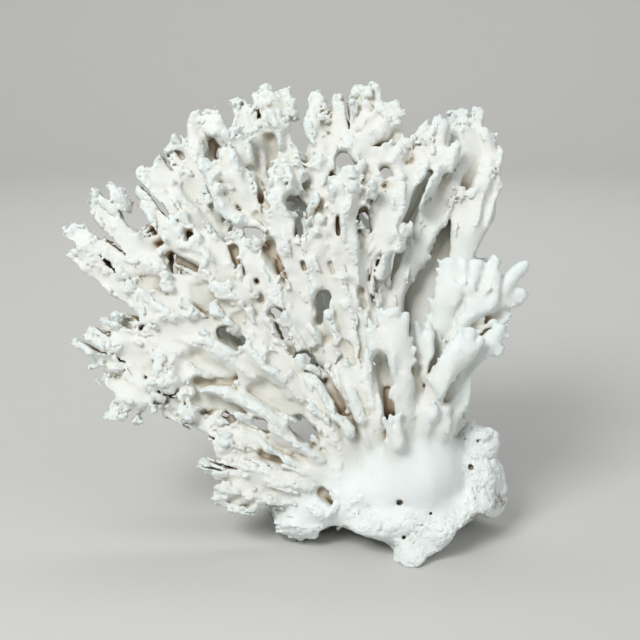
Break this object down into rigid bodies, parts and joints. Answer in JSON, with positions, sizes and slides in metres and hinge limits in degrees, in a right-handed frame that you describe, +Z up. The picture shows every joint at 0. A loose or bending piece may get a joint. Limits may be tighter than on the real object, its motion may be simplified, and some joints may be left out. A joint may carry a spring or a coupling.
{
  "type": "coral skeleton specimen",
  "caption": "Bleached branching stony coral skeleton: a leaning fan of flattened limbs with fingered edges on a domed holdfast, cut flat underneath to stand.",
  "frame": {"origin": "middle of the flat cut under the holdfast, which is the face that the specimen stands on", "axes": "+Z up, +X to the right seen from the open front of the fan, and the front looks along -Y"},
  "size_m": [0.2782, 0.1511, 0.267],
  "materials": {
    "skeleton": "chalky matte bleached skeleton, warm white, faintly cooler at the tips",
    "crust": "matte, granular broken crust with brown dirt at its rim"
  },
  "bodies": {
    "root": {"holdfast": "crust", "trunk": "skeleton", "left_bough": "skeleton", "lower_left_bough": "skeleton", "upper_left_bough": "skeleton", "crown_left_bough": "skeleton", "crown_bough": "skeleton", "centre_bough": "skeleton", "front_bough": "skeleton", "right_bough": "skeleton", "back_plate_bough": "skeleton", "rear_left_bough": "skeleton", "rear_crown_bough": "skeleton", "rear_right_bough": "skeleton"}
  },
  "joints": []
}
